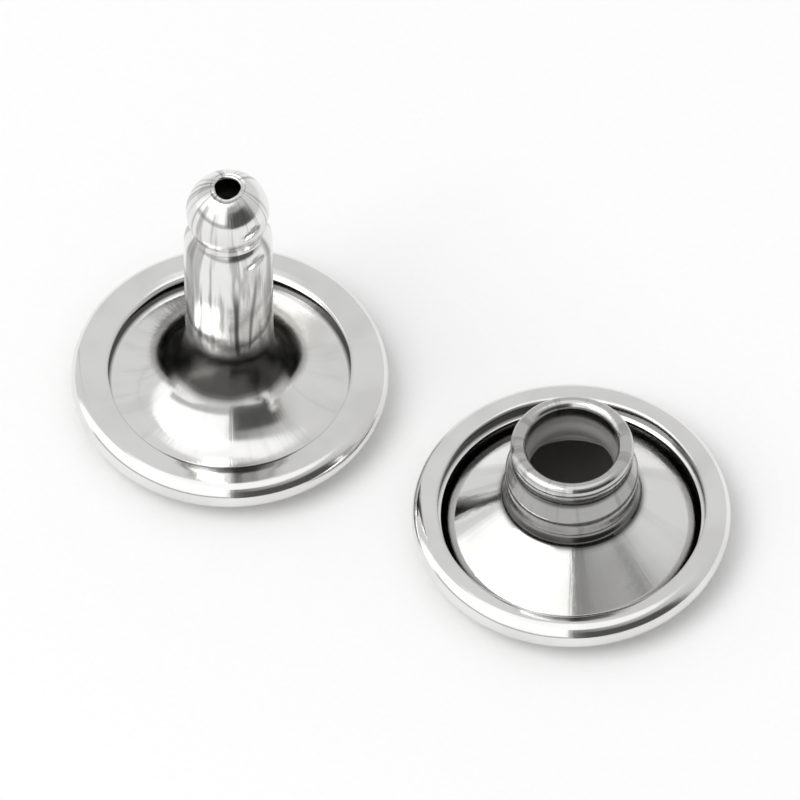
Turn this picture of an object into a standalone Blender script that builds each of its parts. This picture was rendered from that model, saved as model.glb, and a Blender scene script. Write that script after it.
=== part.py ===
"""Double cap rivet before it is set: a post half and a socket half, side by side.

Both halves stand on their domed caps. Each half is two thin stampings: a cap shell, and the
piece that it holds by its flange, under the shell's rolled edge. The post half holds a hollow
stem with a necked, round nose. The socket half holds an eyelet whose cone rises to a collar,
and the collar's lip turns in and down to the throat that grips the stem's nose.

Every piece is a bent sheet: a centreline of straights and arcs in the XZ plane, given its
thickness, then turned about its own axis.
"""

import math

import bpy

MM = 0.001

# Both halves
HALF_SPACING = 10.8 * MM
CAP_DIAMETER = 9.0 * MM
CAP_SHEET = 0.25 * MM
DOME_FLAT_DIAMETER = 1.8 * MM
DOME_EDGE_ANGLE = math.radians(15.0)
ROLL_RADIUS = 0.32 * MM
CRIMP_GAP = 0.03 * MM

# Post half
STEM_SHEET = 0.2 * MM
STEM_DIAMETER = 2.5 * MM
STEM_REACH = 8.4 * MM
POST_HEM_LAND = 0.27 * MM
POST_HEM_WIDTH = 0.6 * MM
DISH_FOOT_GAP = 0.09 * MM
DISH_ANGLE = math.radians(7.5)
SWEEP_RADIUS = 4.1 * MM
SWEEP_SPLIT_ANGLE = math.radians(30.0)
SHOULDER_RADIUS = 1.0 * MM
NECK_DEPTH = 0.15 * MM
NECK_RADIUS = 0.35 * MM
NOSE_STEP = 0.08 * MM
NOSE_HOLE_DIAMETER = 0.7 * MM

# Socket half
EYELET_SHEET = 0.17 * MM
SOCKET_HEM_WIDTH = 0.29 * MM
CONE_FOOT_GAP = 0.08 * MM
CONE_RISE = 0.65 * MM
COLLAR_HEIGHT = 2.95 * MM
COLLAR_BASE_FLARE = 0.27 * MM
COLLAR_WAIST_FLARE = 0.1 * MM
COLLAR_BEAD_FLARE = 0.14 * MM
COLLAR_NECK_DEPTH = 0.06 * MM
LIP_FOLD_RADIUS = 0.13 * MM
FUNNEL_STEP = 0.09 * MM
FUNNEL_DEPTH = 1.35 * MM
THROAT_CLEARANCE = 0.04 * MM

# Ring heights on the collar, as shares of the way from its base to its lip
COLLAR_WAIST_SHARE = 0.2
COLLAR_BEAD_SHARE = 0.45
COLLAR_NECK_SHARE = 0.77
# Where the funnel starts and stops narrowing, as shares of its depth
FUNNEL_START_SHARE = 0.4
FUNNEL_STOP_SHARE = 0.85

TURN_STEPS = 40
MERGE_DISTANCE = 0.001 * MM

NICKEL = (0.83, 0.82, 0.8, 1.0)
SHELL_ROUGHNESS = 0.06
INNER_ROUGHNESS = 0.1


def arc(centre, radius, start, end, steps):
    """Points on a circle from one angle to another, both ends included."""
    angles = [start + (end - start) * step / steps for step in range(steps + 1)]
    return [(centre[0] + radius * math.cos(angle), centre[1] + radius * math.sin(angle))
            for angle in angles]


def ease(start, end, steps):
    """Points that leave one ring and reach the next upright, without the first point."""
    points = []
    for step in range(1, steps + 1):
        share = step / steps
        swing = (1.0 - math.cos(math.pi * share)) / 2.0
        points.append((start[0] + (end[0] - start[0]) * swing,
                       start[1] + (end[1] - start[1]) * share))
    return points


def heading(start, end):
    """Unit vector from one point to another."""
    length = math.dist(start, end)
    return ((end[0] - start[0]) / length, (end[1] - start[1]) / length)


def bend(before, corner, after, radius, steps):
    """Arc of the given radius that rounds a corner between two straights."""
    way_in = heading(before, corner)
    way_out = heading(corner, after)
    turn = math.atan2(way_in[0] * way_out[1] - way_in[1] * way_out[0],
                      way_in[0] * way_out[0] + way_in[1] * way_out[1])
    side = math.copysign(1.0, turn)
    reach = radius * math.tan(abs(turn) / 2.0)
    start = (corner[0] - way_in[0] * reach, corner[1] - way_in[1] * reach)
    centre = (start[0] - side * way_in[1] * radius, start[1] + side * way_in[0] * radius)
    first = math.atan2(start[1] - centre[1], start[0] - centre[0])
    return arc(centre, radius, first, first + turn, steps)


def beside(points, distance):
    """The line that runs at a distance to the left of a centreline, with mitred corners."""
    line = []
    for index, point in enumerate(points):
        before = points[max(index - 1, 0)]
        after = points[min(index + 1, len(points) - 1)]
        way_in = heading(before, point) if index else heading(point, after)
        way_out = heading(point, after) if point != after else way_in
        across = (-way_in[1] - way_out[1], way_in[0] + way_out[0])
        stretch = 2.0 * distance / (across[0] ** 2 + across[1] ** 2)
        line.append((point[0] + across[0] * stretch, point[1] + across[1] * stretch))
    return line


def sheet_section(centreline, thickness):
    """Outline of a sheet that is square where its centreline starts and round where it ends."""
    half = thickness / 2.0
    way = heading(centreline[-2], centreline[-1])
    tip = (centreline[-1][0] - way[0] * half, centreline[-1][1] - way[1] * half)
    centreline = centreline[:-1] + [tip]
    facing = math.atan2(way[1], way[0])
    nose = arc(tip, half, facing + math.pi / 2.0, facing - math.pi / 2.0, 4)[1:-1]
    return beside(centreline, half) + nose + beside(centreline, -half)[::-1]


def nickel(name, roughness):
    """Bright nickel plating."""
    material = bpy.data.materials.new(name)
    material.use_nodes = True
    shader = material.node_tree.nodes["Principled BSDF"]
    shader.inputs["Base Color"].default_value = NICKEL
    shader.inputs["Metallic"].default_value = 1.0
    shader.inputs["Roughness"].default_value = roughness
    return material


def turned(name, outline, closed, roughness, parent, collection):
    """A piece turned from an outline that runs down its outer side."""
    edges = [(index, index + 1) for index in range(len(outline) - 1)]
    if closed:
        edges.append((len(outline) - 1, 0))
    mesh = bpy.data.meshes.new(name)
    mesh.from_pydata([(radius, 0.0, height) for radius, height in outline], edges, [])
    piece = bpy.data.objects.new(name, mesh)
    piece.data.materials.append(nickel(name + "_nickel", roughness))
    piece.parent = parent
    collection.objects.link(piece)
    screw = piece.modifiers.new("Turn", "SCREW")
    screw.axis = "Z"
    screw.angle = 2.0 * math.pi
    screw.steps = TURN_STEPS
    screw.render_steps = TURN_STEPS
    screw.use_merge_vertices = True
    screw.merge_threshold = MERGE_DISTANCE
    screw.use_smooth_shade = True
    return piece


class Cap:
    """Levels of a cap shell whose edge is rolled over a flange of the given thickness."""

    def __init__(self, flange_sheet, hem_width):
        self.crown_radius = CAP_DIAMETER / 2.0 - CAP_SHEET / 2.0 - ROLL_RADIUS
        self.lip_radius = self.crown_radius - hem_width
        self.flat_radius = DOME_FLAT_DIAMETER / 2.0
        edge_radius = self.crown_radius + ROLL_RADIUS * math.sin(DOME_EDGE_ANGLE)
        self.dome_radius = (edge_radius - self.flat_radius) / math.sin(DOME_EDGE_ANGLE)
        dome_rise = self.dome_radius * (1.0 - math.cos(DOME_EDGE_ANGLE))
        self.floor_height = CAP_SHEET / 2.0
        self.roll_height = (self.floor_height + dome_rise
                            + ROLL_RADIUS * math.cos(DOME_EDGE_ANGLE))
        self.hem_height = self.roll_height + ROLL_RADIUS
        self.rim_height = self.hem_height + CAP_SHEET / 2.0
        self.flange_spacing = (CAP_SHEET + flange_sheet) / 2.0 + CRIMP_GAP

    def flange_edge(self):
        """Outer end of the flange, tight under the hem."""
        return (self.crown_radius, self.hem_height - self.flange_spacing)

    def flange_rest(self, radius):
        """Place where the flange rests on the dome, at a radius."""
        to_centre = math.sqrt(self.dome_radius ** 2 - (radius - self.flat_radius) ** 2)
        dome_height = self.floor_height + self.dome_radius - to_centre
        return (radius, dome_height + self.flange_spacing * self.dome_radius / to_centre)

    def centreline(self):
        """From the axis out along the dome, around the rolled edge and up to its crown."""
        dome_centre = (self.flat_radius, self.floor_height + self.dome_radius)
        roll_centre = (self.crown_radius, self.roll_height)
        dome_end = DOME_EDGE_ANGLE - math.pi / 2.0
        dome = arc(dome_centre, self.dome_radius, -math.pi / 2.0, dome_end, 4)
        roll = arc(roll_centre, ROLL_RADIUS, dome_end, math.pi / 2.0, 6)
        return [(0.0, self.floor_height)] + dome + roll[1:]


def stem_radius():
    """Radius of the stem's centreline."""
    return (STEM_DIAMETER - STEM_SHEET) / 2.0


class PostDish:
    """The post flange past the hem's lip: it dishes, then sweeps up into the stem."""

    def __init__(self, cap):
        split_cosine = math.cos(SWEEP_SPLIT_ANGLE)
        split_sine = math.sin(SWEEP_SPLIT_ANGLE)
        start = cap.flange_rest(cap.lip_radius - DISH_FOOT_GAP)
        reach = start[0] - stem_radius() - SWEEP_RADIUS * (1.0 - split_cosine)
        self.lower_radius = reach / (split_cosine + math.sin(DISH_ANGLE))
        self.lower_centre = (start[0] - self.lower_radius * math.sin(DISH_ANGLE),
                             start[1] + self.lower_radius * math.cos(DISH_ANGLE))
        step_up = SWEEP_RADIUS - self.lower_radius
        self.upper_centre = (self.lower_centre[0] + step_up * split_cosine,
                             self.lower_centre[1] + step_up * split_sine)

    def sweep(self):
        """From inside the hem's lip to the foot of the straight stem."""
        split = SWEEP_SPLIT_ANGLE - math.pi
        lower = arc(self.lower_centre, self.lower_radius, DISH_ANGLE - math.pi / 2.0, split, 5)
        upper = arc(self.upper_centre, SWEEP_RADIUS, split, -math.pi, 3)
        return lower + upper[1:]


def post_cap_section(cap):
    """The hem is flat, then dips towards its lip."""
    dip = (POST_HEM_WIDTH - POST_HEM_LAND) * math.tan(DISH_ANGLE)
    hem = [(cap.crown_radius - POST_HEM_LAND, cap.hem_height),
           (cap.lip_radius, cap.hem_height - dip)]
    return sheet_section(cap.centreline() + hem, CAP_SHEET)


def nose_radius():
    """Outside radius of the round nose, a little under the stem's."""
    return STEM_DIAMETER / 2.0 - NOSE_STEP


def post_stem_section(cap):
    """Flange, sweep and stem, then a shoulder, a neck and a round nose with a hole."""
    nose = nose_radius() - STEM_SHEET / 2.0
    neck = nose - NECK_DEPTH

    neck_centre_radius = neck + NECK_RADIUS
    nose_angle = math.acos(neck_centre_radius / (nose + NECK_RADIUS))
    shoulder_centre_radius = stem_radius() - SHOULDER_RADIUS
    shoulder_angle = math.acos(
        (neck_centre_radius - shoulder_centre_radius) / (SHOULDER_RADIUS + NECK_RADIUS))
    hole_angle = math.acos(NOSE_HOLE_DIAMETER / 2.0 / nose)

    nose_height = cap.rim_height + STEM_REACH - nose_radius()
    neck_height = nose_height - (nose + NECK_RADIUS) * math.sin(nose_angle)
    shoulder_height = neck_height - (SHOULDER_RADIUS + NECK_RADIUS) * math.sin(shoulder_angle)

    line = [cap.flange_edge()] + PostDish(cap).sweep()
    line += arc((shoulder_centre_radius, shoulder_height), SHOULDER_RADIUS,
                0.0, shoulder_angle, 3)
    line += arc((neck_centre_radius, neck_height), NECK_RADIUS,
                math.pi + shoulder_angle, math.pi - nose_angle, 4)[1:]
    line += arc((0.0, nose_height), nose, -nose_angle, hole_angle, 6)[1:]
    return sheet_section(line, STEM_SHEET)


def socket_cap_section(cap):
    """The hem is flat as far as its lip."""
    hem = [(cap.lip_radius, cap.hem_height)]
    return sheet_section(cap.centreline() + hem, CAP_SHEET)


def socket_eyelet_section(cap):
    """Flange, cone and beaded collar, folded at the lip into a funnel that ends in a throat."""
    half = EYELET_SHEET / 2.0
    throat = nose_radius() + THROAT_CLEARANCE + half
    funnel = throat + FUNNEL_STEP
    fold_centre_radius = funnel + LIP_FOLD_RADIUS
    lip = fold_centre_radius + LIP_FOLD_RADIUS

    crown_height = cap.rim_height + COLLAR_HEIGHT
    lip_height = crown_height - half - LIP_FOLD_RADIUS
    base_height = cap.rim_height + CONE_RISE
    collar_rise = lip_height - base_height
    funnel_end = crown_height - FUNNEL_DEPTH
    funnel_drop = lip_height - funnel_end

    def ring(radius, share):
        return (radius, base_height + share * collar_rise)

    edge = cap.flange_edge()
    foot = cap.flange_rest(cap.lip_radius - CONE_FOOT_GAP)
    base = (lip + COLLAR_BASE_FLARE, base_height)
    waist = ring(lip + COLLAR_WAIST_FLARE, COLLAR_WAIST_SHARE)
    bead = ring(lip + COLLAR_BEAD_FLARE, COLLAR_BEAD_SHARE)
    neck = ring(lip - COLLAR_NECK_DEPTH, COLLAR_NECK_SHARE)
    funnel_start = (funnel, lip_height - FUNNEL_START_SHARE * funnel_drop)
    funnel_stop = (throat, lip_height - FUNNEL_STOP_SHARE * funnel_drop)

    line = [edge]
    line += bend(edge, foot, base, EYELET_SHEET, 1)
    line += bend(foot, base, waist, EYELET_SHEET, 2)
    line += ease(base, waist, 3)[1:]
    line += ease(waist, bead, 2)
    line += ease(bead, neck, 3)
    line += ease(neck, (lip, lip_height), 2)
    line += arc((fold_centre_radius, lip_height), LIP_FOLD_RADIUS, 0.0, math.pi, 4)[1:]
    line += [funnel_start]
    line += ease(funnel_start, funnel_stop, 2)
    line += [(throat, funnel_end)]
    return sheet_section(line, EYELET_SHEET)


def half_empty(name, x, collection):
    """Axis of one half, standing on the floor."""
    empty = bpy.data.objects.new(name, None)
    empty.location = (x, 0.0, 0.0)
    collection.objects.link(empty)
    return empty


def build_post_half(collection):
    """Cap shell with the hollow stem that stands in it."""
    cap = Cap(STEM_SHEET, POST_HEM_WIDTH)
    half = half_empty("post_half", -HALF_SPACING / 2.0, collection)
    turned("post_cap_shell", post_cap_section(cap), False, SHELL_ROUGHNESS,
           half, collection)
    turned("post_stem", post_stem_section(cap), True, INNER_ROUGHNESS,
           half, collection)


def build_socket_half(collection):
    """Cap shell with the eyelet that stands in it."""
    cap = Cap(EYELET_SHEET, SOCKET_HEM_WIDTH)
    half = half_empty("socket_half", HALF_SPACING / 2.0, collection)
    turned("socket_cap_shell", socket_cap_section(cap), False, SHELL_ROUGHNESS,
           half, collection)
    turned("socket_eyelet", socket_eyelet_section(cap), True, INNER_ROUGHNESS,
           half, collection)


def main():
    """Clear the scene and build both halves."""
    for old in list(bpy.data.objects):
        bpy.data.objects.remove(old, do_unlink=True)
    rivet = bpy.data.collections.new("double_cap_rivet")
    bpy.context.scene.collection.children.link(rivet)
    build_post_half(rivet)
    build_socket_half(rivet)


main()
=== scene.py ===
"""Unset double cap rivet in bright nickel: a post half and a socket half on a pale floor.

The fine pieces repeat the solids' bent sheets with close steps, and add what a stamping shows
up close: uneven rolled edges and lips, draw marks along the post and the cone, and plating.
"""

import math

import bmesh
import bpy
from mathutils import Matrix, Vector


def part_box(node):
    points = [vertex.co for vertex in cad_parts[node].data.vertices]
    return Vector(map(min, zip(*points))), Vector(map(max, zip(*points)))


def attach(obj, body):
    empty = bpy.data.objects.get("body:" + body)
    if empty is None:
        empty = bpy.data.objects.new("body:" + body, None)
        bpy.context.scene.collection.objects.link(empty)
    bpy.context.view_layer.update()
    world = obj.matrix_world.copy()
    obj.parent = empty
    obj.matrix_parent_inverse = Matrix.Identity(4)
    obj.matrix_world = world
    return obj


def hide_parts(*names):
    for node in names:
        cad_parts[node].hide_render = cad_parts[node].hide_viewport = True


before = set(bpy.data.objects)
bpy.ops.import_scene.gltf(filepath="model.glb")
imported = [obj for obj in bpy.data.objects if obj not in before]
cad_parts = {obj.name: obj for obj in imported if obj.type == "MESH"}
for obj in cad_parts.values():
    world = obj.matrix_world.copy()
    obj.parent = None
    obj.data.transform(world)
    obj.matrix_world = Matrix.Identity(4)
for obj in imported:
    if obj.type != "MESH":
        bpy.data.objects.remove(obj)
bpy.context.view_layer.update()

MM = 0.001

# Sheets of both halves, as in the solids
CAP_SHEET = 0.25 * MM
DOME_FLAT_DIAMETER = 1.8 * MM
DOME_EDGE_ANGLE = math.radians(15.0)
ROLL_RADIUS = 0.32 * MM
CRIMP_GAP = 0.03 * MM

# Post half
STEM_SHEET = 0.2 * MM
STEM_DIAMETER = 2.5 * MM
STEM_REACH = 8.4 * MM
POST_HEM_LAND = 0.27 * MM
POST_HEM_WIDTH = 0.6 * MM
POST_HEM_CREASE = 0.9 * MM
DISH_FOOT_GAP = 0.09 * MM
DISH_ANGLE = math.radians(7.5)
SWEEP_RADIUS = 4.1 * MM
SWEEP_SPLIT_ANGLE = math.radians(30.0)
SHOULDER_RADIUS = 1.0 * MM
NECK_DEPTH = 0.15 * MM
NECK_RADIUS = 0.35 * MM
NOSE_STEP = 0.08 * MM
NOSE_HOLE_DIAMETER = 0.7 * MM

# Socket half
EYELET_SHEET = 0.17 * MM
SOCKET_HEM_WIDTH = 0.29 * MM
CONE_FOOT_GAP = 0.08 * MM
CONE_RISE = 0.65 * MM
COLLAR_BASE_FLARE = 0.27 * MM
COLLAR_WAIST_FLARE = 0.1 * MM
COLLAR_BEAD_FLARE = 0.14 * MM
COLLAR_NECK_DEPTH = 0.06 * MM
LIP_FOLD_RADIUS = 0.13 * MM
FUNNEL_STEP = 0.09 * MM
FUNNEL_DEPTH = 1.35 * MM
THROAT_CLEARANCE = 0.04 * MM
LIP_DROOP = 0.02 * MM
COLLAR_WAIST_SHARE = 0.2
COLLAR_BEAD_SHARE = 0.45
COLLAR_NECK_SHARE = 0.77
FUNNEL_START_SHARE = 0.4
FUNNEL_STOP_SHARE = 0.85

# Segments round each turned piece, and steps round a sheet's sheared end, whose corners are
# the fuller the lower its power is
CAP_SEGMENTS = 512
INNER_SEGMENTS = 352
END_STEPS = 12
END_POWER = 0.6
END_CLEARANCE = 1.05
ON_AXIS = 1e-9

# Unevenness round an axis: waves of an order, a size and a phase
POST_EDGE_WAVES = ((3, 4e-6, 0.3), (7, 2e-6, 1.7), (16, 0.8e-6, 2.9))
POST_LIP_WAVES = ((2, 16e-6, 1.2), (5, 9e-6, 0.1), (13, 4e-6, 2.0))
SOCKET_EDGE_WAVES = ((2, 4e-6, 1.3), (6, 2e-6, 0.6), (17, 0.8e-6, 1.1))
SOCKET_LIP_WAVES = ((3, 14e-6, 2.2), (7, 7e-6, 1.0), (12, 4e-6, 0.4))
STEM_WAVES = ((2, 3.5e-6, 0.4), (5, 2.5e-6, 2.1), (9, 1.6e-6, 1.0))
STEM_FINE_WAVES = ((13, 1.4e-6, 0.8), (19, 0.7e-6, 2.4))
NOSE_HOLE_WAVES = ((2, 14e-6, 0.9), (3, 12e-6, 2.6), (7, 4e-6, 0.3))
CONE_WAVES = ((3, 2.0e-6, 1.1), (7, 1.0e-6, 0.2))
COLLAR_WAVES = ((2, 5.0e-6, 2.2), (5, 2.5e-6, 0.7), (11, 1.0e-6, 1.9))
THROAT_WAVES = ((3, 14e-6, 0.5), (8, 6e-6, 1.4))

# Turn of the waves along a sheet, and the draw spirals' order, turn and size
STEM_TWIST = 0.5
STEM_FINE_TWIST = -1.4
COLLAR_TWIST = 0.6
STEM_SPIRALS = ((1.0, 38.0, 4.0e-6), (3.0, -55.0, 3.0e-6))

# Shares of a sheet's length at which its unevenness and its droop fade in, or in and out
POST_EDGE_START = 0.7
SOCKET_EDGE_START = 0.74
EDGE_FADE = 0.12
DROOP_DELAY = 0.14
LIP_IN = (0.9, 1.0)
STEM_IN_OUT = ((0.16, 0.4), (0.93, 1.0))
NOSE_HOLE_IN = (0.965, 1.0)
CONE_IN_OUT = ((0.08, 0.2), (0.3, 0.38))
COLLAR_IN = (0.36, 0.45)
THROAT_IN = (0.95, 1.0)

# The photograph's view: from above, with the socket half nearer and to the right. The front
# angle is where each half's side faces that view
VIEW_AZIMUTH = math.radians(26.9)
FRONT_ANGLE = VIEW_AZIMUTH - math.pi / 2.0
VIEW_ELEVATION = math.radians(53.0)
VIEW_DISTANCE = 0.5
VIEW_WIDTH = 22.5 * MM
VIEW_TARGET = (0.0, 0.0, 3.0 * MM)
SENSOR_WIDTH = 36.0
CAMERA_CLIP = (0.01, 20.0)

# Painted dark reflection round the axes, strongest facing the front view: its share at the
# back, and where it turns from back to front
BACK_SHARE = 0.33
FRONT_TURN = (-0.5, 0.4)

# Sheared ends turn nearly unplated and dark between their face at 0 and their hidden side at 1:
# a cap's from one share in front and another at the back, with a fade, and an inner sheet's
# evenly. Further over a cap's end at the back, the dark is painted shade of the gap under the
# hem
POST_CUT_STARTS = (0.6, 0.5)
SOCKET_CUT_STARTS = (0.6, 0.2)
CUT_TURN = (0.2, 0.7)
CUT_FADE = 0.2
INNER_CUT = (0.3, 0.6)

# Painted shade on the flanges beside the hems' lips: how far it reaches out from under a lip
STEM_FLANGE_REACH = 0.1 * MM
EYELET_FLANGE_REACH = 0.04 * MM
FLANGE_FADE = 0.08 * MM

# Painted dark reflection round the stem's root: heights above the hem, and how uneven they are
ROOT_FOOT = (0.25 * MM, 0.65 * MM)
ROOT_TOP = (1.8 * MM, 2.5 * MM)
ROOT_WAVES = ((2, 0.1 * MM, 0.7), (5, 0.06 * MM, 1.9), (11, 0.04 * MM, 0.4))
ROOT_FOOT_UNEVENNESS = 0.3

# Painted dark reflection on the collar: its share between its waist and its neck, where it
# is whole, the lip's share, the shares of the collar's height at which each part starts, or
# starts and ends, and the strength of it all with the waves in that
COLLAR_PAINTED_REFLECTION = 0.6
LIP_PAINTED_REFLECTION = 0.36
COLLAR_FOOT = (-0.03, 0.03)
WAIST_IN_OUT = ((-0.04, 0.02), (0.1, 0.28))
NECK_FOOT = (0.55, 0.68)
LIP_FOOT = (0.76, 0.86)
COLLAR_STRENGTH = 0.96
COLLAR_STRENGTH_WAVES = ((4, 0.02, 0.6), (9, 0.015, 2.0))

# Dark streaks along the stem: its angle in degrees, half width, height range in mm, share and
# lean
# Those at -126 and 5 degrees are painted dark reflection along the stem's sides seen from the
# front
STEM_DARK_STREAKS = (
    (-49.0, 6.5, 1.9, 6.6, 0.9, -1.2), (-38.0, 4.0, 3.2, 7.0, 0.7, 4.0),
    (-126.0, 17.0, 2.0, 8.2, 0.6, 0.6), (-104.0, 5.0, 3.6, 6.4, 0.75, 1.5),
    (-84.0, 3.5, 3.4, 7.9, 0.5, -0.8), (5.0, 15.0, 2.0, 8.2, 0.55, -0.5),
    (38.0, 4.0, 2.8, 6.0, 0.5, 1.4),
    (84.0, 7.0, 2.2, 7.6, 0.6, 0.8), (126.0, 3.0, 4.2, 7.2, 0.45, -2.0),
    (163.0, 6.0, 1.8, 5.6, 0.6, 1.0))

# A dark streak wanders by some degrees and thins by a share, at rates for each mm, and
# its ends fade over some mm and its sides over shares of its half width
STREAK_WANDER = 0.9
STREAK_WANDER_RATE = 2.3
STREAK_THINNING = 0.25
STREAK_THINNING_RATE = 1.3
STREAK_FOOT = (-0.5, 0.6)
STREAK_TOP = (-0.9, 0.3)
STREAK_SIDE = (0.35, 1.25)

# Plating colours, and for the sides that no polish reaches also the roughness
BRIGHT_NICKEL = (0.83, 0.828, 0.815, 1.0)
DULL_NICKEL = (0.76, 0.755, 0.735, 1.0)
STAINED_NICKEL = (0.38, 0.376, 0.364, 1.0)
# Nearly black: unplated metal on cut ends, and elsewhere painted shade and painted dark
# reflection
BARE_METAL_AND_PAINTED_SHADE = (0.085, 0.084, 0.08, 1.0)
DULL_INSIDE = ((0.47, 0.465, 0.45, 1.0), 0.34)
# Lighter than the outer plating: a painted lift of the shade in the eyelet's bore
BRIGHT_INSIDE = ((0.86, 0.855, 0.84, 1.0), 0.55)

# Noise of the plating: scale, detail and, where it isn't the usual one, roughness
BROAD_STREAK_NOISE = (5.0, 3.0, 0.55)
STREAK_NOISE = (22.0, 4.0, 0.6)
FINE_STREAK_NOISE = (90.0, 2.0)
SMUDGE_NOISE = (420.0, 3.0)
HAZE_NOISE = (1500.0, 4.0, 0.65)
PEEL_NOISE = (5200.0, 2.0)
PORE_NOISE = (21000.0, 1.0)
STREAK_DRIFT = 60.0

# Range of its noise over which each mark sets in, and the roughness that it adds
CLOUD_RANGE = (0.42, 0.68)
GRAIN_RANGE = (0.35, 0.7)
MARK_RANGE = (0.55, 0.75)
STAIN_RANGE = (0.5, 0.64)
CLOUD_ROUGHNESS = 0.07
GRAIN_ROUGHNESS = 0.025
MARK_ROUGHNESS = 0.05
STAIN_ROUGHNESS = 0.06
# Roughness where cut ends are unplated and where shade and dark reflection are painted
BARE_AND_PAINTED_SHADE_ROUGHNESS = 0.15

# Stains: their share, and how they grow from the flange to the upright part
STAIN_SHARE = 0.8
STAIN_HEIGHTS = (1.5 * MM, 2.6 * MM)
FLANGE_STAIN = 0.15

# Relief of the plating, as shares of one depth
RELIEF_DEPTH = 2.4e-6
STREAK_RELIEF = 1.6
FINE_STREAK_RELIEF = 0.25
HAZE_RELIEF = 0.9
PEEL_RELIEF = 0.22
PORE_RELIEF = 0.03

# Draw marks and roughness of each piece
CAP_MARKS = 0.25
CAP_ROUGHNESS = 0.05
STEM_MARKS = 1.0
STEM_ROUGHNESS = 0.1
EYELET_MARKS = 0.6
EYELET_ROUGHNESS = 0.06

# Floor of white paper with a faint tooth
FLOOR_REACH = 1.5
FLOOR_SHADES = ((0.965, 0.965, 0.965, 1.0), (0.975, 0.975, 0.975, 1.0))
FLOOR_ROUGHNESS = 0.85
FLOOR_SPECULAR = 0.1
TOOTH_NOISE = (6000.0, 2.0)
TOOTH_RANGE = (0.3, 0.7)

# Light tent. A panel's two sides and their softness are in degrees from the camera's heading,
# or for the stripe in shares of the way to the right. Then come the two heights in degrees
# over which its top fades out, and its level. The grey one grows to the tent's level between
# two sides, and the overhead one sets in by its height and by the share of the way to the front
TENT_LEVEL = 0.76
SOFTBOX_PANEL = (-112.0, 1.0, 3.5, 80.0, 84.0, 1.28)
GREY_PANEL = (1.0, 118.0, 3.5, 60.0, 67.0)
GREY_SIDES = (10.0, 118.0)
GREY_LEVEL = 0.36
STRIPE_PANEL = (0.02, 0.18, 0.04, 60.0, 66.0)
STRIPE_LEVEL = 0.27
LOW_RIGHT_PANEL = (4.0, 72.0, 9.0, 40.0, 50.0, 0.09)
LOW_LEFT_PANEL = (-92.0, 0.0, 3.0, 8.0, 15.0, 0.55)
SEAM_PANEL = (-136.0, -134.0, 0.6, 50.0, 56.0, 0.6)
OVERHEAD_RISE = (62.0, 70.0)
OVERHEAD_FRONT = (-0.46, -0.36)
OVERHEAD_LEVEL = 1.2
BACKDROP_LEVEL = 1.0
DIFFUSE_LEVEL = 0.72

# Lamp, to the left of the camera
LAMP_AZIMUTH = VIEW_AZIMUTH - math.radians(62.0)
LAMP_ELEVATION = math.radians(56.0)
LAMP_DISTANCE = 0.6
LAMP_SIZE = 0.4
LAMP_ENERGY = 1.5


def arc(centre, radius, start, end, steps):
    """Points on a circle from one angle to another, both ends included."""
    angles = [start + (end - start) * step / steps for step in range(steps + 1)]
    return [(centre[0] + radius * math.cos(angle), centre[1] + radius * math.sin(angle))
            for angle in angles]


def straight(start, end, steps):
    """Even points between two ends, without the first."""
    return [(start[0] + (end[0] - start[0]) * step / steps,
             start[1] + (end[1] - start[1]) * step / steps) for step in range(1, steps + 1)]


def ease(start, end, steps):
    """Points that leave one ring and reach the next upright, without the first point."""
    points = []
    for step in range(1, steps + 1):
        share = step / steps
        swing = (1.0 - math.cos(math.pi * share)) / 2.0
        points.append((start[0] + (end[0] - start[0]) * swing,
                       start[1] + (end[1] - start[1]) * share))
    return points


def heading(start, end):
    """Unit vector from one point to another."""
    length = math.dist(start, end)
    return ((end[0] - start[0]) / length, (end[1] - start[1]) / length)


def bend(before, corner, after, radius, steps):
    """Arc of the given radius that rounds a corner between two straights."""
    way_in = heading(before, corner)
    way_out = heading(corner, after)
    turn = math.atan2(way_in[0] * way_out[1] - way_in[1] * way_out[0],
                      way_in[0] * way_out[0] + way_in[1] * way_out[1])
    side = math.copysign(1.0, turn)
    reach = radius * math.tan(abs(turn) / 2.0)
    start = (corner[0] - way_in[0] * reach, corner[1] - way_in[1] * reach)
    centre = (start[0] - side * way_in[1] * radius, start[1] + side * way_in[0] * radius)
    first = math.atan2(start[1] - centre[1], start[0] - centre[0])
    return arc(centre, radius, first, first + turn, steps)


def smooth(value, low, high):
    """0 below low, 1 above high, eased between them."""
    share = min(max((value - low) / (high - low), 0.0), 1.0)
    return share * share * (3.0 - 2.0 * share)


def window(value, rise, fall):
    """1 between two ranges, eased from 0 over the first and back to 0 over the second."""
    return smooth(value, *rise) * (1.0 - smooth(value, *fall))


def ripple(angle, waves):
    """Sum of waves round the axis, each an order, a size and a phase."""
    return sum(size * math.sin(order * angle + phase) for order, size, phase in waves)


class Row:
    """One ring of a turned sheet: its place, the ways across and along the sheet, its share.

    back is 1 on the sheet's hidden side and 0 on its face, and runs from 1 to 0 round its
    sheared end. cut is the same on that end and 0 elsewhere.
    """

    def __init__(self, point, across, along, share, back, cut=0.0):
        self.point = point
        self.across = across
        self.along = along
        self.share = share
        self.back = back
        self.cut = cut


def sheared_end(tip, way, half):
    """Points round a sheet's cut end, its corners a little round, from hidden side to face."""
    points = []
    for step in range(1, END_STEPS):
        angle = math.pi * (0.5 - step / END_STEPS)
        out = half * math.cos(angle) ** END_POWER
        aside = half * math.copysign(abs(math.sin(angle)) ** END_POWER, angle)
        points.append((tip[0] + way[0] * out - way[1] * aside,
                       tip[1] + way[1] * out + way[0] * aside))
    return points


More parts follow.
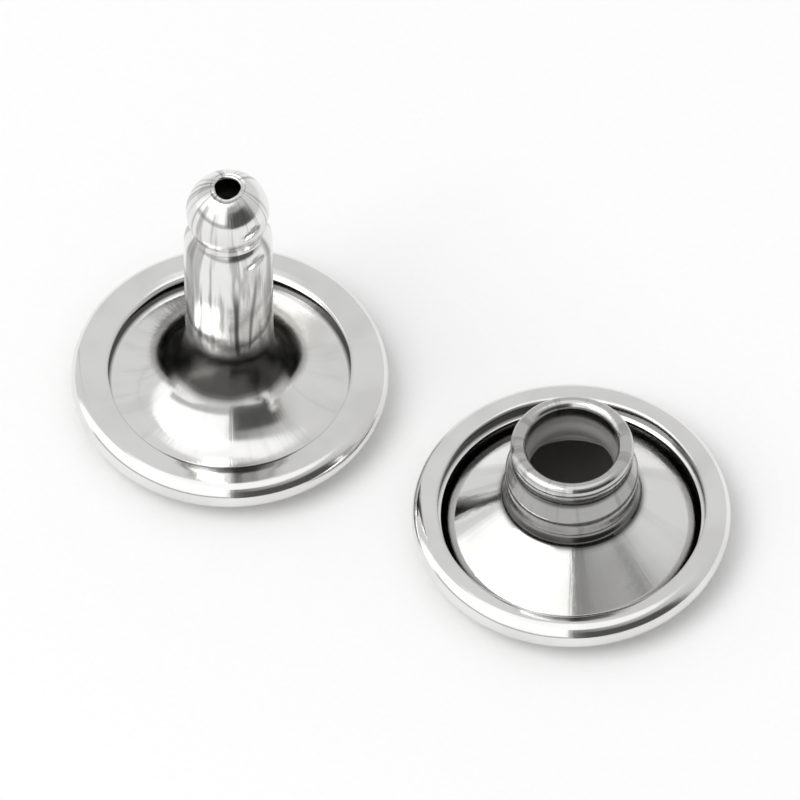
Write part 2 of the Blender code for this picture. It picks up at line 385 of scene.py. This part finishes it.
def sheet_rows(centreline, thickness):
    """Rings from a sheet's start along its hidden side, round its end and back on its face."""
    half = thickness / 2.0
    end_way = heading(centreline[-2], centreline[-1])
    tip = (centreline[-1][0] - end_way[0] * half, centreline[-1][1] - end_way[1] * half)
    clearance = END_CLEARANCE * half
    line = [point for point in centreline if math.dist(point, centreline[-1]) > clearance]
    line.append(tip)
    lengths = [0.0]
    for before, after in zip(line, line[1:]):
        lengths.append(lengths[-1] + math.dist(before, after))
    behind = []
    face = []
    for index, point in enumerate(line):
        way_in = heading(line[max(index - 1, 0)], point) if index else heading(point, line[1])
        way_out = heading(point, line[index + 1]) if index + 1 < len(line) else way_in
        across = (-way_in[1] - way_out[1], way_in[0] + way_out[0])
        stretch = 2.0 * half / (across[0] ** 2 + across[1] ** 2)
        size = math.hypot(*across)
        unit = (across[0] / size, across[1] / size)
        share = lengths[index] / lengths[-1]
        for side, rows in ((1.0, behind), (-1.0, face)):
            shift = side * stretch
            place = (point[0] + across[0] * shift, point[1] + across[1] * shift)
            rows.append(Row(place, unit, (unit[1], -unit[0]), share, max(side, 0.0)))
    last = behind[-1]
    end = []
    for step, point in enumerate(sheared_end(tip, end_way, half), 1):
        left = 1.0 - step / END_STEPS
        end.append(Row(point, last.across, last.along, 1.0, left, left))
    return behind + end + face[::-1]


def turned(name, rows, axis_x, segments, closed, shape, finish):
    """Mesh turned about a half's axis. shape gives each ring's two small shifts at an angle.

    finish gives the shares of two kinds of plating, kept as attributes: inside, where no
    polish reaches, and a nearly black one: nearly unplated on cut ends, and elsewhere painted
    shade and painted dark reflection.
    """
    mesh = bpy.data.meshes.new(name)
    build = bmesh.new()
    rings = []
    insides = []
    bare_and_painted_shade_shares = []

    def note_plating(row, angle):
        inside, bare_and_painted_shade = finish(row, angle)
        insides.append(inside)
        bare_and_painted_shade_shares.append(bare_and_painted_shade)

    for row in rows:
        if row.point[0] < ON_AXIS:
            note_plating(row, 0.0)
            rings.append([build.verts.new((axis_x, 0.0, row.point[1]))])
            continue
        ring = []
        for segment in range(segments):
            angle = 2.0 * math.pi * segment / segments
            across, along = shape(angle, row.share)
            radius = row.point[0] + row.across[0] * across + row.along[0] * along
            height = row.point[1] + row.across[1] * across + row.along[1] * along
            ring.append(build.verts.new((axis_x + radius * math.cos(angle),
                                         radius * math.sin(angle), height)))
            note_plating(row, angle)
        rings.append(ring)
    pairs = list(zip(rings, rings[1:]))
    if closed:
        pairs.append((rings[-1], rings[0]))
    for first, second in pairs:
        for segment in range(segments):
            after = (segment + 1) % segments
            if len(first) == 1:
                build.faces.new((first[0], second[segment], second[after]))
            elif len(second) == 1:
                build.faces.new((first[segment], second[0], first[after]))
            else:
                build.faces.new((first[segment], second[segment], second[after], first[after]))
    bmesh.ops.recalc_face_normals(build, faces=build.faces)
    build.to_mesh(mesh)
    build.free()
    mesh.polygons.foreach_set("use_smooth", [True] * len(mesh.polygons))
    mesh.attributes.new("inside", "FLOAT", "POINT").data.foreach_set("value", insides)
    # Nearly black share: unplated cut ends, painted shade and painted dark reflection
    mesh.attributes.new("bare_and_painted_shade", "FLOAT", "POINT").data.foreach_set("value", bare_and_painted_shade_shares)
    piece = bpy.data.objects.new(name, mesh)
    bpy.context.scene.collection.objects.link(piece)
    return piece


class Cap:
    """Levels of a cap shell whose edge is rolled over a flange of the given thickness."""

    def __init__(self, node, flange_sheet, hem_width):
        low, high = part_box(node)
        self.axis_x = (low.x + high.x) / 2.0
        self.crown_radius = (high.x - low.x) / 2.0 - CAP_SHEET / 2.0 - ROLL_RADIUS
        self.lip_radius = self.crown_radius - hem_width
        self.flat_radius = DOME_FLAT_DIAMETER / 2.0
        edge_radius = self.crown_radius + ROLL_RADIUS * math.sin(DOME_EDGE_ANGLE)
        self.dome_radius = (edge_radius - self.flat_radius) / math.sin(DOME_EDGE_ANGLE)
        self.rim_height = high.z
        self.hem_height = high.z - CAP_SHEET / 2.0
        self.roll_height = self.hem_height - ROLL_RADIUS
        self.floor_height = low.z + CAP_SHEET / 2.0
        self.flange_spacing = (CAP_SHEET + flange_sheet) / 2.0 + CRIMP_GAP

    def flange_edge(self):
        """Outer end of the flange, tight under the hem."""
        return (self.crown_radius, self.hem_height - self.flange_spacing)

    def flange_rest(self, radius):
        """Place where the flange rests on the dome, at a radius."""
        to_centre = math.sqrt(self.dome_radius ** 2 - (radius - self.flat_radius) ** 2)
        dome_height = self.floor_height + self.dome_radius - to_centre
        return (radius, dome_height + self.flange_spacing * self.dome_radius / to_centre)

    def centreline(self):
        """From the axis out along the dome, around the rolled edge and up to its crown."""
        dome_centre = (self.flat_radius, self.floor_height + self.dome_radius)
        roll_centre = (self.crown_radius, self.roll_height)
        dome_end = DOME_EDGE_ANGLE - math.pi / 2.0
        line = [(0.0, self.floor_height)]
        line += straight(line[0], (self.flat_radius, self.floor_height), 6)
        line += arc(dome_centre, self.dome_radius, -math.pi / 2.0, dome_end, 20)[1:]
        line += arc(roll_centre, ROLL_RADIUS, dome_end, math.pi / 2.0, 32)[1:]
        return line


def stem_radius():
    """Radius of the stem's centreline."""
    return (STEM_DIAMETER - STEM_SHEET) / 2.0


def nose_radius():
    """Outside radius of the round nose, a little under the stem's."""
    return STEM_DIAMETER / 2.0 - NOSE_STEP


def post_cap_rows(cap):
    """Cap of the post half: its hem is flat, then dips towards its lip."""
    dip = (POST_HEM_WIDTH - POST_HEM_LAND) * math.tan(DISH_ANGLE)
    crown = (cap.crown_radius, cap.hem_height)
    start = (cap.crown_radius - POST_HEM_LAND, cap.hem_height)
    lip = (cap.lip_radius, cap.hem_height - dip)
    crease = bend(crown, start, lip, POST_HEM_CREASE, 8)
    line = cap.centreline()
    line += straight(crown, crease[0], 4)[:-1] + crease + straight(crease[-1], lip, 8)
    return sheet_rows(line, CAP_SHEET)


def post_stem_rows(cap):
    """Flange, sweep and stem, then a shoulder, a neck and a round nose with a hole."""
    split_cosine = math.cos(SWEEP_SPLIT_ANGLE)
    split_sine = math.sin(SWEEP_SPLIT_ANGLE)
    rest = cap.flange_rest(cap.lip_radius - DISH_FOOT_GAP)
    reach = rest[0] - stem_radius() - SWEEP_RADIUS * (1.0 - split_cosine)
    lower_radius = reach / (split_cosine + math.sin(DISH_ANGLE))
    lower_centre = (rest[0] - lower_radius * math.sin(DISH_ANGLE),
                    rest[1] + lower_radius * math.cos(DISH_ANGLE))
    step_up = SWEEP_RADIUS - lower_radius
    upper_centre = (lower_centre[0] + step_up * split_cosine,
                    lower_centre[1] + step_up * split_sine)
    split = SWEEP_SPLIT_ANGLE - math.pi

    nose = nose_radius() - STEM_SHEET / 2.0
    neck_centre_radius = nose - NECK_DEPTH + NECK_RADIUS
    nose_angle = math.acos(neck_centre_radius / (nose + NECK_RADIUS))
    shoulder_centre_radius = stem_radius() - SHOULDER_RADIUS
    shoulder_angle = math.acos(
        (neck_centre_radius - shoulder_centre_radius) / (SHOULDER_RADIUS + NECK_RADIUS))
    hole_angle = math.acos(NOSE_HOLE_DIAMETER / 2.0 / nose)
    nose_height = cap.rim_height + STEM_REACH - nose_radius()
    neck_height = nose_height - (nose + NECK_RADIUS) * math.sin(nose_angle)
    shoulder_height = neck_height - (SHOULDER_RADIUS + NECK_RADIUS) * math.sin(shoulder_angle)

    edge = cap.flange_edge()
    line = [edge] + straight(edge, rest, 6)[:-1]
    line += arc(lower_centre, lower_radius, DISH_ANGLE - math.pi / 2.0, split, 26)
    line += arc(upper_centre, SWEEP_RADIUS, split, -math.pi, 14)[1:]
    line += straight(line[-1], (stem_radius(), shoulder_height), 16)
    line += arc((shoulder_centre_radius, shoulder_height), SHOULDER_RADIUS,
                0.0, shoulder_angle, 10)[1:]
    line += arc((neck_centre_radius, neck_height), NECK_RADIUS,
                math.pi + shoulder_angle, math.pi - nose_angle, 16)[1:]
    line += arc((0.0, nose_height), nose, -nose_angle, hole_angle, 34)[1:]
    return sheet_rows(line, STEM_SHEET)


def socket_cap_rows(cap):
    """Cap of the socket half, with a narrow flat hem."""
    crown = (cap.crown_radius, cap.hem_height)
    line = cap.centreline() + straight(crown, (cap.lip_radius, cap.hem_height), 6)
    return sheet_rows(line, CAP_SHEET)


def socket_eyelet_rows(cap, crown_height):
    """Flange, cone and beaded collar, folded at the lip into a funnel that ends in a throat."""
    half = EYELET_SHEET / 2.0
    throat = nose_radius() + THROAT_CLEARANCE + half
    funnel = throat + FUNNEL_STEP
    fold_centre_radius = funnel + LIP_FOLD_RADIUS
    lip = fold_centre_radius + LIP_FOLD_RADIUS
    lip_height = crown_height - half - LIP_FOLD_RADIUS
    base_height = cap.rim_height + CONE_RISE
    collar_rise = lip_height - base_height
    funnel_end = crown_height - FUNNEL_DEPTH
    funnel_drop = lip_height - funnel_end

    def ring(radius, share):
        return (radius, base_height + share * collar_rise)

    edge = cap.flange_edge()
    foot = cap.flange_rest(cap.lip_radius - CONE_FOOT_GAP)
    base = (lip + COLLAR_BASE_FLARE, base_height)
    waist = ring(lip + COLLAR_WAIST_FLARE, COLLAR_WAIST_SHARE)
    bead = ring(lip + COLLAR_BEAD_FLARE, COLLAR_BEAD_SHARE)
    neck = ring(lip - COLLAR_NECK_DEPTH, COLLAR_NECK_SHARE)
    funnel_start = (funnel, lip_height - FUNNEL_START_SHARE * funnel_drop)
    funnel_stop = (throat, lip_height - FUNNEL_STOP_SHARE * funnel_drop)

    foot_bend = bend(edge, foot, base, EYELET_SHEET, 8)
    base_bend = bend(foot, base, waist, EYELET_SHEET, 12)
    line = [edge] + straight(edge, foot_bend[0], 4)[:-1] + foot_bend
    line += straight(foot_bend[-1], base_bend[0], 20)[:-1] + base_bend
    line += ease(base, waist, 12)[3:]
    line += ease(waist, bead, 12)
    line += ease(bead, neck, 14)
    line += ease(neck, (lip, lip_height), 10)
    line += arc((fold_centre_radius, lip_height), LIP_FOLD_RADIUS, 0.0, math.pi, 20)[1:]
    line += straight(line[-1], funnel_start, 4)
    line += ease(funnel_start, funnel_stop, 12)
    line += straight(line[-1], (throat, funnel_end), 4)
    return sheet_rows(line, EYELET_SHEET)


def cap_shape(waves, lip_waves, start, droop):
    """A rolled edge is uneven from its start to its lip, which droops, and the dome is true."""
    droop_start = start + DROOP_DELAY

    def shape(angle, share):
        sag = droop * (max(share - droop_start, 0.0) / (1.0 - droop_start)) ** 2
        return (ripple(angle, waves) * smooth(share, start, start + EDGE_FADE) + sag,
                ripple(angle, lip_waves) * smooth(share, *LIP_IN))
    return shape


def cap_finish(front_start, back_start):
    """A cap is bright but for its hidden side and a part of its sheared end: unplated, and at
    the back also painted shade.
    """
    def finish(row, angle):
        # At the back more of the end is dark, as painted shade of the gap under the hem.
        behind = smooth(-math.cos(angle - FRONT_ANGLE), *CUT_TURN)
        start = front_start + (back_start - front_start) * behind
        return row.back, smooth(row.cut, start, start + CUT_FADE)
    return finish


def under_hem(cap, row, reach):
    """Share of painted shade on a flange, from a reach inside the hem's lip outwards."""
    start = cap.lip_radius - reach
    return smooth(row.point[0], start, start + FLANGE_FADE)


def toward_front(angle):
    """Share of the painted dark reflection round an axis: whole in front, a third at the back.
    """
    facing = smooth(math.cos(angle - FRONT_ANGLE), *FRONT_TURN)
    return BACK_SHARE + (1.0 - BACK_SHARE) * facing


def dark_streaks(angle, height):
    """Darkening share that the streaks along the stem give at a place; two are painted dark
    reflection.
    """
    level = height / MM
    most = 0.0
    for centre, half_width, low, high, share, lean in STEM_DARK_STREAKS:
        wander = STREAK_WANDER * math.sin(STREAK_WANDER_RATE * level + centre)
        middle = math.radians(centre + lean * (level - low) + wander)
        apart = abs(math.remainder(angle - middle, 2.0 * math.pi))
        swing = math.sin(STREAK_THINNING_RATE * level - centre)
        width = math.radians(half_width) * (1.0 - STREAK_THINNING + STREAK_THINNING * swing)
        inside = 1.0 - smooth(apart, STREAK_SIDE[0] * width, STREAK_SIDE[1] * width)
        between_ends = window(level, [low + shift for shift in STREAK_FOOT],
                              [high + shift for shift in STREAK_TOP])
        most = max(most, share * between_ends * inside)
    return most


def stem_finish(cap):
    """The stem has painted shade by the hem's lip, a painted dark reflection round its root and
    dark streaks.
    """
    def finish(row, angle):
        if row.back >= 1.0:
            return row.back, 0.0
        rise = row.point[1] - cap.rim_height
        # Painted dark reflection round the root, whole on the side facing the front view.
        uneven = ripple(angle, ROOT_WAVES)
        root = smooth(rise + ROOT_FOOT_UNEVENNESS * uneven, *ROOT_FOOT) * toward_front(angle)
        root *= 1.0 - smooth(rise + uneven, *ROOT_TOP)
        # Nearly unplated on the nose hole's cut end; painted shade on the flange by the hem's
        # lip.
        cut_and_hem_shade = max(smooth(row.cut, *INNER_CUT), under_hem(cap, row, STEM_FLANGE_REACH))
        return row.back, max(cut_and_hem_shade, root, dark_streaks(angle, row.point[1]))
    return finish


def eyelet_finish(cap, crown_height):
    """The eyelet: painted shade by the hem's lip, painted dark reflection on collar and lip, a
    matt bore painted lighter.
    """
    base_height = cap.rim_height + CONE_RISE
    bore_radius = nose_radius() + THROAT_CLEARANCE + FUNNEL_STEP + LIP_FOLD_RADIUS

    def finish(row, angle):
        share = (row.point[1] - base_height) / (crown_height - base_height)
        cut = smooth(row.cut, *INNER_CUT)
        below_lip = 1.0 - smooth(share, *LIP_FOOT)
        lip = LIP_PAINTED_REFLECTION * (1.0 - below_lip)
        # The bore is painted a little lighter than the outer plating, lifting its shade.
        if row.point[0] < bore_radius:
            return max(row.back, below_lip), max(cut, lip)
        # Painted dark reflection on the collar and lip, whole on the side facing the front
        # view.
        collar = max(COLLAR_PAINTED_REFLECTION, window(share, *WAIST_IN_OUT), smooth(share, *NECK_FOOT))
        collar *= smooth(share, *COLLAR_FOOT) * below_lip
        collar *= COLLAR_STRENGTH + ripple(angle, COLLAR_STRENGTH_WAVES)
        collar *= toward_front(angle)
        return row.back, max(cut, under_hem(cap, row, EYELET_FLANGE_REACH), collar, lip)
    return finish


def stem_shape(angle, share):
    """Draw waves along the stem, and an uneven edge round the nose hole."""
    across = ripple(angle + STEM_TWIST * share, STEM_WAVES)
    across += ripple(angle + STEM_FINE_TWIST * share, STEM_FINE_WAVES)
    across += sum(size * math.sin(order * angle + turn * share)
                  for order, turn, size in STEM_SPIRALS)
    hole = ripple(angle, NOSE_HOLE_WAVES)
    return across * window(share, *STEM_IN_OUT), hole * smooth(share, *NOSE_HOLE_IN)


def eyelet_shape(angle, share):
    """The cone is nearly true, the collar is a little uneven and its throat's edge more so."""
    cone = ripple(angle, CONE_WAVES) * window(share, *CONE_IN_OUT)
    collar = ripple(angle + COLLAR_TWIST * share, COLLAR_WAVES) * smooth(share, *COLLAR_IN)
    edge = ripple(angle, THROAT_WAVES)
    return cone + collar, edge * smooth(share, *THROAT_IN)


class Nodes:
    """Short calls that add shader nodes to one tree."""

    def __init__(self, tree):
        self.tree = tree

    def add(self, kind, **settings):
        node = self.tree.nodes.new(kind)
        for name, value in settings.items():
            setattr(node, name, value)
        return node

    def feed(self, socket, value):
        if isinstance(value, bpy.types.NodeSocket):
            self.tree.links.new(value, socket)
        else:
            socket.default_value = value

    def math(self, operation, *values):
        node = self.add("ShaderNodeMath", operation=operation)
        for socket, value in zip(node.inputs, values):
            self.feed(socket, value)
        return node.outputs[0]

    def vector(self, operation, *values):
        node = self.add("ShaderNodeVectorMath", operation=operation)
        for socket, value in zip(node.inputs, values):
            self.feed(socket, value)
        return node.outputs["Value" if operation in ("DOT_PRODUCT", "LENGTH") else "Vector"]

    def span(self, value, low, high, start, end):
        node = self.add("ShaderNodeMapRange", interpolation_type="SMOOTHSTEP")
        for socket, given in zip(node.inputs, (value, low, high, start, end)):
            self.feed(socket, given)
        return node.outputs[0]

    def scaled(self, value, factor):
        return self.math("MULTIPLY", value, factor)

    def between(self, value, low, high, soft):
        rise = self.span(value, low - soft, low + soft, 0.0, 1.0)
        fall = self.span(value, high - soft, high + soft, 1.0, 0.0)
        return self.math("MULTIPLY", rise, fall)

    def mix(self, share, first, second):
        node = self.add("ShaderNodeMix", data_type="FLOAT")
        self.feed(node.inputs[0], share)
        self.feed(node.inputs[2], first)
        self.feed(node.inputs[3], second)
        return node.outputs[0]

    def mix_colour(self, share, first, second):
        node = self.add("ShaderNodeMix", data_type="RGBA")
        self.feed(node.inputs[0], share)
        self.feed(node.inputs[6], first)
        self.feed(node.inputs[7], second)
        return node.outputs[2]

    def noise(self, vector, scale, detail, roughness=0.5):
        node = self.add("ShaderNodeTexNoise")
        self.feed(node.inputs["Vector"], vector)
        self.feed(node.inputs["Scale"], scale)
        self.feed(node.inputs["Detail"], detail)
        self.feed(node.inputs["Roughness"], roughness)
        return node.outputs["Fac"]


def nickel(name, axis_x, draw_marks, base_roughness, inside_look):
    """Bright nickel plate: draw marks that run out from the axis, haze, and fine peel."""
    material = bpy.data.materials.new(name)
    material.use_nodes = True
    nodes = Nodes(material.node_tree)
    shader = material.node_tree.nodes["Principled BSDF"]
    place = nodes.add("ShaderNodeTexCoord").outputs["Object"]
    local = nodes.vector("SUBTRACT", place, (axis_x, 0.0, 0.0))
    split = nodes.add("ShaderNodeSeparateXYZ")
    nodes.feed(split.inputs[0], local)
    height = split.outputs[2]
    flat = nodes.vector("MULTIPLY", local, (1.0, 1.0, 0.0))
    turn = nodes.vector("NORMALIZE", flat)
    radius = nodes.vector("LENGTH", flat)

    along = nodes.add("ShaderNodeCombineXYZ")
    nodes.feed(along.inputs[2], nodes.scaled(nodes.math("ADD", radius, height), STREAK_DRIFT))
    streak_place = nodes.vector("ADD", turn, along.outputs[0])
    broad_streaks = nodes.noise(streak_place, *BROAD_STREAK_NOISE)
    streaks = nodes.noise(streak_place, *STREAK_NOISE)
    fine_streaks = nodes.noise(streak_place, *FINE_STREAK_NOISE)
    smudge = nodes.noise(local, *SMUDGE_NOISE)
    haze = nodes.noise(local, *HAZE_NOISE)
    peel = nodes.noise(local, *PEEL_NOISE)
    pores = nodes.noise(local, *PORE_NOISE)

    cloud = nodes.span(smudge, *CLOUD_RANGE, 0.0, 1.0)
    grain = nodes.span(haze, *GRAIN_RANGE, 0.0, 1.0)
    mark = nodes.span(fine_streaks, *MARK_RANGE, 0.0, 1.0)
    upright = nodes.span(height, *STAIN_HEIGHTS, FLANGE_STAIN, 1.0)
    stain = nodes.scaled(nodes.span(broad_streaks, *STAIN_RANGE, 0.0, 1.0), upright)
    stain = nodes.scaled(stain, STAIN_SHARE * draw_marks)
    rough = nodes.mix(cloud, base_roughness, base_roughness + CLOUD_ROUGHNESS)
    for share, added in ((grain, GRAIN_ROUGHNESS), (mark, MARK_ROUGHNESS * draw_marks),
                         (stain, STAIN_ROUGHNESS)):
        rough = nodes.math("ADD", rough, nodes.scaled(share, added))

    inside = nodes.add("ShaderNodeAttribute", attribute_name="inside").outputs["Fac"]
    # Nearly black share: unplated cut ends, painted shade and painted dark reflection
    bare_and_painted_shade = nodes.add("ShaderNodeAttribute", attribute_name="bare_and_painted_shade").outputs["Fac"]
    inside_colour, inside_roughness = inside_look
    rough = nodes.mix(inside, rough, inside_roughness)
    nodes.feed(shader.inputs["Roughness"], nodes.mix(bare_and_painted_shade, rough, BARE_AND_PAINTED_SHADE_ROUGHNESS))
    plated = nodes.mix_colour(cloud, BRIGHT_NICKEL, DULL_NICKEL)
    plated = nodes.mix_colour(stain, plated, STAINED_NICKEL)
    plated = nodes.mix_colour(inside, plated, inside_colour)
    nodes.feed(shader.inputs["Base Color"], nodes.mix_colour(bare_and_painted_shade, plated, BARE_METAL_AND_PAINTED_SHADE))
    shader.inputs["Metallic"].default_value = 1.0

    relief = nodes.scaled(streaks, STREAK_RELIEF * draw_marks)
    for part, share in ((fine_streaks, FINE_STREAK_RELIEF * draw_marks), (haze, HAZE_RELIEF),
                        (peel, PEEL_RELIEF), (pores, PORE_RELIEF)):
        relief = nodes.math("ADD", relief, nodes.scaled(part, share))
    bump = nodes.add("ShaderNodeBump")
    bump.inputs["Strength"].default_value = 1.0
    bump.inputs["Distance"].default_value = RELIEF_DEPTH
    nodes.feed(bump.inputs["Height"], relief)
    nodes.feed(shader.inputs["Normal"], bump.outputs["Normal"])
    return material


def add_floor():
    """Pale studio floor with a faint paper tooth."""
    mesh = bpy.data.meshes.new("floor")
    corners = [(-FLOOR_REACH, -FLOOR_REACH, 0.0), (FLOOR_REACH, -FLOOR_REACH, 0.0),
               (FLOOR_REACH, FLOOR_REACH, 0.0), (-FLOOR_REACH, FLOOR_REACH, 0.0)]
    mesh.from_pydata(corners, [], [(0, 1, 2, 3)])
    floor = bpy.data.objects.new("floor", mesh)
    bpy.context.scene.collection.objects.link(floor)
    material = bpy.data.materials.new("floor_paper")
    material.use_nodes = True
    nodes = Nodes(material.node_tree)
    shader = material.node_tree.nodes["Principled BSDF"]
    place = nodes.add("ShaderNodeTexCoord").outputs["Object"]
    shade = nodes.span(nodes.noise(place, *TOOTH_NOISE), *TOOTH_RANGE, 0.0, 1.0)
    nodes.feed(shader.inputs["Base Color"], nodes.mix_colour(shade, *FLOOR_SHADES))
    shader.inputs["Roughness"].default_value = FLOOR_ROUGHNESS
    shader.inputs["Specular IOR Level"].default_value = FLOOR_SPECULAR
    mesh.materials.append(material)


def add_world():
    """Light tent: a wide softbox left of the camera, grey to its right, dark low in front."""
    world = bpy.data.worlds.new("studio")
    bpy.context.scene.world = world
    world.use_nodes = True
    nodes = Nodes(world.node_tree)
    world.node_tree.nodes.clear()
    way = nodes.add("ShaderNodeTexCoord").outputs["Generated"]
    front = (math.sin(VIEW_AZIMUTH), -math.cos(VIEW_AZIMUTH), 0.0)
    right = (math.cos(VIEW_AZIMUTH), math.sin(VIEW_AZIMUTH), 0.0)
    to_front = nodes.vector("DOT_PRODUCT", way, front)
    to_right = nodes.vector("DOT_PRODUCT", way, right)
    to_top = nodes.vector("DOT_PRODUCT", way, (0.0, 0.0, 1.0))
    side = nodes.math("DEGREES", nodes.math("ARCTAN2", to_right, to_front))
    rise = nodes.math("DEGREES", nodes.math("ARCSINE", to_top))

    def panel(across, low, high, soft, top_start, top_end):
        return nodes.scaled(nodes.between(across, low, high, soft),
                            nodes.span(rise, top_start, top_end, 1.0, 0.0))

    overhead = nodes.scaled(nodes.span(rise, *OVERHEAD_RISE, 0.0, 1.0),
                            nodes.span(to_front, *OVERHEAD_FRONT, 0.0, 1.0))
    stripe = nodes.scaled(panel(to_right, *STRIPE_PANEL),
                          nodes.math("GREATER_THAN", to_front, 0.0))
    *softbox, softbox_level = SOFTBOX_PANEL
    level = nodes.mix(panel(side, *softbox), TENT_LEVEL, softbox_level)
    level = nodes.mix(overhead, level, OVERHEAD_LEVEL)
    grey_level = nodes.span(side, *GREY_SIDES, GREY_LEVEL, TENT_LEVEL)
    level = nodes.mix(panel(side, *GREY_PANEL), level, grey_level)
    level = nodes.mix(stripe, level, STRIPE_LEVEL)
    for *edges, panel_level in (LOW_RIGHT_PANEL, LOW_LEFT_PANEL, SEAM_PANEL):
        level = nodes.mix(panel(side, *edges), level, panel_level)

    path = nodes.add("ShaderNodeLightPath")
    shown = nodes.mix(path.outputs["Is Camera Ray"], level, BACKDROP_LEVEL)
    seen = nodes.math("MAXIMUM", path.outputs["Is Camera Ray"], path.outputs["Is Glossy Ray"])
    seen = nodes.math("MAXIMUM", seen, path.outputs["Is Transmission Ray"])
    strength = nodes.mix(seen, DIFFUSE_LEVEL, shown)
    background = nodes.add("ShaderNodeBackground")
    background.inputs["Color"].default_value = (1.0, 1.0, 1.0, 1.0)
    nodes.feed(background.inputs["Strength"], strength)
    output = nodes.add("ShaderNodeOutputWorld")
    nodes.feed(output.inputs["Surface"], background.outputs[0])


def aim(thing, place, target):
    """Puts a lamp or camera at a place and turns it to a target."""
    thing.location = place
    way = [target[index] - place[index] for index in range(3)]
    tilt = math.atan2(math.hypot(way[0], way[1]), -way[2])
    thing.rotation_euler = (tilt, 0.0, math.atan2(way[1], way[0]) - math.pi / 2.0)


def around(azimuth, elevation, distance, target):
    """Place at an azimuth, 0 being in front, and an elevation round a target."""
    flat = distance * math.cos(elevation)
    return (target[0] + flat * math.sin(azimuth), target[1] - flat * math.cos(azimuth),
            target[2] + distance * math.sin(elevation))


def add_lamp():
    """One large soft lamp, high on the camera's left."""
    data = bpy.data.lights.new("softbox", "AREA")
    data.shape = "SQUARE"
    data.size = LAMP_SIZE
    data.energy = LAMP_ENERGY
    lamp = bpy.data.objects.new("softbox", data)
    bpy.context.scene.collection.objects.link(lamp)
    aim(lamp, around(LAMP_AZIMUTH, LAMP_ELEVATION, LAMP_DISTANCE, VIEW_TARGET), VIEW_TARGET)


def add_camera():
    """Long lens at the photograph's viewing angle."""
    data = bpy.data.cameras.new("camera")
    data.sensor_width = SENSOR_WIDTH
    data.lens = SENSOR_WIDTH * VIEW_DISTANCE / VIEW_WIDTH
    data.clip_start, data.clip_end = CAMERA_CLIP
    camera = bpy.data.objects.new("camera", data)
    bpy.context.scene.collection.objects.link(camera)
    aim(camera, around(VIEW_AZIMUTH, VIEW_ELEVATION, VIEW_DISTANCE, VIEW_TARGET), VIEW_TARGET)
    bpy.context.scene.camera = camera


def dress(piece, node, material):
    """Gives a fine piece its material and puts it in its solid's place."""
    piece.data.materials.append(material)
    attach(piece, "root")
    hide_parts(node)


def build_post_half():
    """Fine cap and stem of the post half."""
    cap = Cap("post_cap_shell", STEM_SHEET, POST_HEM_WIDTH)
    shape = cap_shape(POST_EDGE_WAVES, POST_LIP_WAVES, POST_EDGE_START, 0.0)
    piece = turned("post_cap_fine", post_cap_rows(cap), cap.axis_x, CAP_SEGMENTS, False, shape,
                   cap_finish(*POST_CUT_STARTS))
    dress(piece, "post_cap_shell",
          nickel("shell_a", cap.axis_x, CAP_MARKS, CAP_ROUGHNESS, DULL_INSIDE))
    piece = turned("post_stem_fine", post_stem_rows(cap), cap.axis_x, INNER_SEGMENTS, True,
                   stem_shape, stem_finish(cap))
    dress(piece, "post_stem",
          nickel("stem", cap.axis_x, STEM_MARKS, STEM_ROUGHNESS, DULL_INSIDE))


def build_socket_half():
    """Fine cap and eyelet of the socket half."""
    cap = Cap("socket_cap_shell", EYELET_SHEET, SOCKET_HEM_WIDTH)
    crown_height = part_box("socket_eyelet")[1].z
    shape = cap_shape(SOCKET_EDGE_WAVES, SOCKET_LIP_WAVES, SOCKET_EDGE_START, LIP_DROOP)
    piece = turned("socket_cap_fine", socket_cap_rows(cap), cap.axis_x, CAP_SEGMENTS, False,
                   shape, cap_finish(*SOCKET_CUT_STARTS))
    dress(piece, "socket_cap_shell",
          nickel("shell_b", cap.axis_x, CAP_MARKS, CAP_ROUGHNESS, DULL_INSIDE))
    piece = turned("socket_eyelet_fine", socket_eyelet_rows(cap, crown_height), cap.axis_x,
                   INNER_SEGMENTS, True, eyelet_shape, eyelet_finish(cap, crown_height))
    dress(piece, "socket_eyelet",
          nickel("eyelet", cap.axis_x, EYELET_MARKS, EYELET_ROUGHNESS, BRIGHT_INSIDE))


build_post_half()
build_socket_half()
add_floor()
add_world()
add_lamp()
add_camera()
bpy.context.scene.view_settings.view_transform = "Standard"
